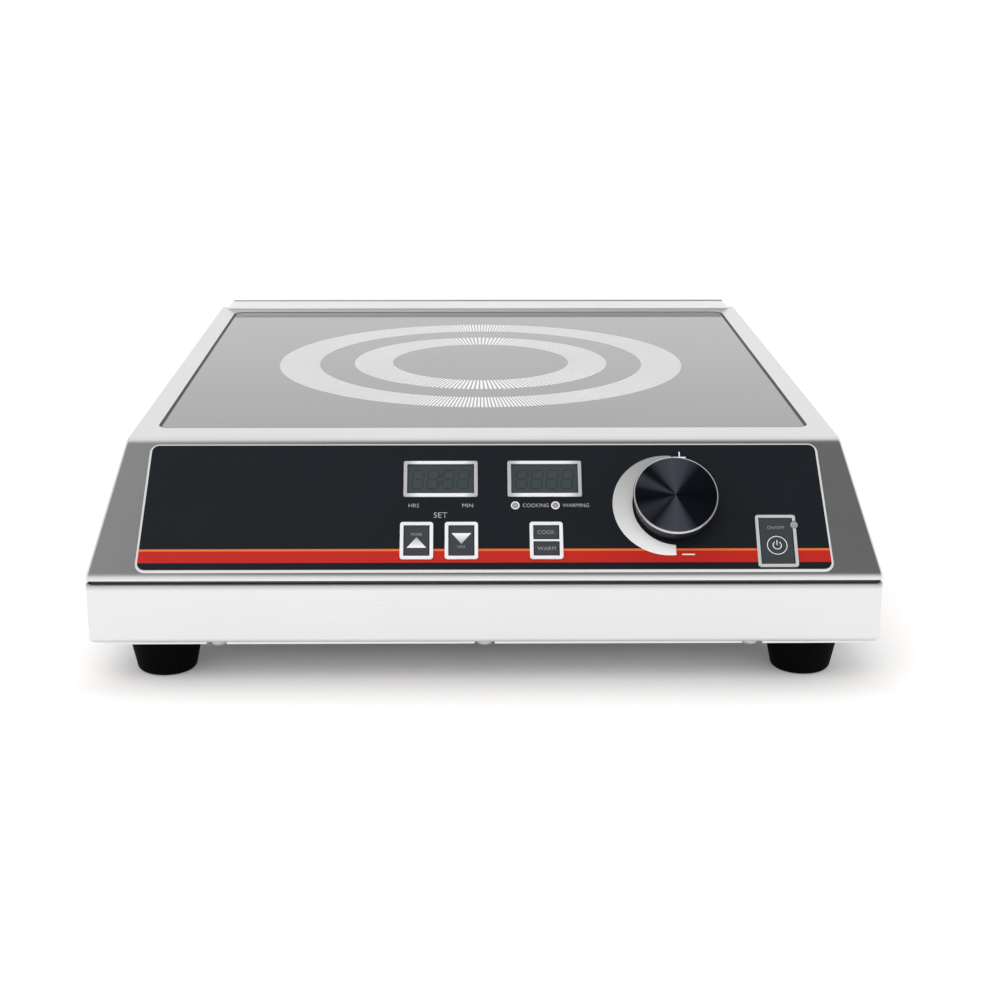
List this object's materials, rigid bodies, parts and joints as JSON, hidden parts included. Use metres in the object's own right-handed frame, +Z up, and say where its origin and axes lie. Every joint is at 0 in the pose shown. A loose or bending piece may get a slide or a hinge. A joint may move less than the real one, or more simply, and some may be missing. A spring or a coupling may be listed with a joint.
{
  "type": "countertop induction cooker",
  "caption": "Countertop induction cooker: folded steel body on rubber feet, square glass plate, sloping control panel with displays, press keys and a turning knob.",
  "frame": {"origin": "on the worktop under the middle of the tray", "axes": "+Z up, +Y from the control panel to the rear, +X to the user's right"},
  "size_m": [0.3274, 0.3697, 0.1011],
  "materials": {
    "steel": "fine brushed stainless sheet",
    "glass_black": "black glass ceramic plate",
    "silicone_black": "matt silicone",
    "film_black": "satin printed control film",
    "bezel_silver": "satin silver frame",
    "lcd_grey": "liquid crystal glass, unlit",
    "key_grey": "dark grey moulded key",
    "lamp_red": "tinted light pipe, unlit",
    "knob_black": "spun and black anodised",
    "plastic_black": "moulded plastic",
    "plastic_white": "moulded nylon",
    "steel_plated": "plated steel",
    "brass_plated": "plated brass",
    "board_green": "glass fibre board",
    "copper": "enamelled copper strand",
    "ferrite": "ferrite",
    "mica": "mica sheet",
    "aluminium_sink": "extruded aluminium",
    "iron_core": "laminated stator with winding",
    "epoxy_black": "moulded epoxy",
    "film_yellow": "boxed film capacitor",
    "rubber_black": "matt rubber",
    "cable_grey": "flat cable"
  },
  "bodies": {
    "chassis": {"base_tray": "steel", "top_shell": "steel", "glass_top": "glass_black", "glass_seal": "silicone_black", "control_overlay": "film_black", "timer_bezel": "bezel_silver", "heat_bezel": "bezel_silver", "timer_lcd": "lcd_grey", "heat_lcd": "lcd_grey", "lcd_holders": "plastic_white", "up_key_bezel": "bezel_silver", "down_key_bezel": "bezel_silver", "mode_key_bezel": "bezel_silver", "power_key_bezel": "bezel_silver", "key_switches": "plastic_black", "mode_lamps": "lamp_red", "power_lamp": "lamp_red", "encoder_body": "brass_plated", "encoder_nut": "brass_plated", "control_board": "board_green", "control_spacers": "brass_plated", "control_screws": "steel_plated", "buzzer": "plastic_black", "ribbon_cable": "cable_grey", "coil_former": "plastic_black", "induction_coil": "copper", "ferrite_bars": "ferrite", "insulation_sheet": "mica", "sensor_cap": "silicone_black", "coil_posts": "plastic_white", "coil_screws": "steel_plated", "fan_frame": "plastic_black", "fan_stator": "iron_core", "fan_screws": "steel_plated", "power_board": "board_green", "board_supports": "plastic_white", "heat_sink": "aluminium_sink", "power_transistors": "epoxy_black", "film_capacitors": "film_yellow", "filter_choke": "ferrite", "terminal_block": "plastic_white", "cord_grommet": "rubber_black", "foot_front_left": "rubber_black", "foot_front_right": "rubber_black", "foot_rear_left": "rubber_black", "foot_rear_right": "rubber_black", "foot_screws": "steel_plated", "base_screws": "steel_plated", "hex_nuts": "steel_plated"},
    "knob": {"knob_cap": "knob_black", "knob_hub": "plastic_black", "encoder_shaft": "steel_plated"},
    "up_button": {"up_key": "key_grey"},
    "down_button": {"down_key": "key_grey"},
    "heat_button": {"heat_key": "key_grey"},
    "hold_button": {"hold_key": "key_grey"},
    "power_button": {"power_key": "key_grey"},
    "fan_wheel": {"fan_rotor": "plastic_black"}
  },
  "joints": [
    {"name": "knob_turn", "type": "hinge", "parent": "chassis", "child": "knob", "pos_m": [0.0788, -0.16301, 0.07205], "axis": [0, -0.7431, 0.6691], "continuous": true},
    {"name": "up_press", "type": "slide", "parent": "chassis", "child": "up_button", "axis": [0, 0.7431, -0.6691], "range_m": [0, 0.0006], "stiffness_N_per_m": 800},
    {"name": "down_press", "type": "slide", "parent": "chassis", "child": "down_button", "axis": [0, 0.7431, -0.6691], "range_m": [0, 0.0006], "stiffness_N_per_m": 800},
    {"name": "heat_press", "type": "slide", "parent": "chassis", "child": "heat_button", "axis": [0, 0.7431, -0.6691], "range_m": [0, 0.0006], "stiffness_N_per_m": 800},
    {"name": "hold_press", "type": "slide", "parent": "chassis", "child": "hold_button", "axis": [0, 0.7431, -0.6691], "range_m": [0, 0.0006], "stiffness_N_per_m": 800},
    {"name": "power_press", "type": "slide", "parent": "chassis", "child": "power_button", "axis": [0, 0.7431, -0.6691], "range_m": [0, 0.0006], "stiffness_N_per_m": 800},
    {"name": "fan_spin", "type": "hinge", "parent": "chassis", "child": "fan_wheel", "pos_m": [-0.08916, 0.09411, 0.0205], "axis": [0, 0, 1], "continuous": true}
  ]
}
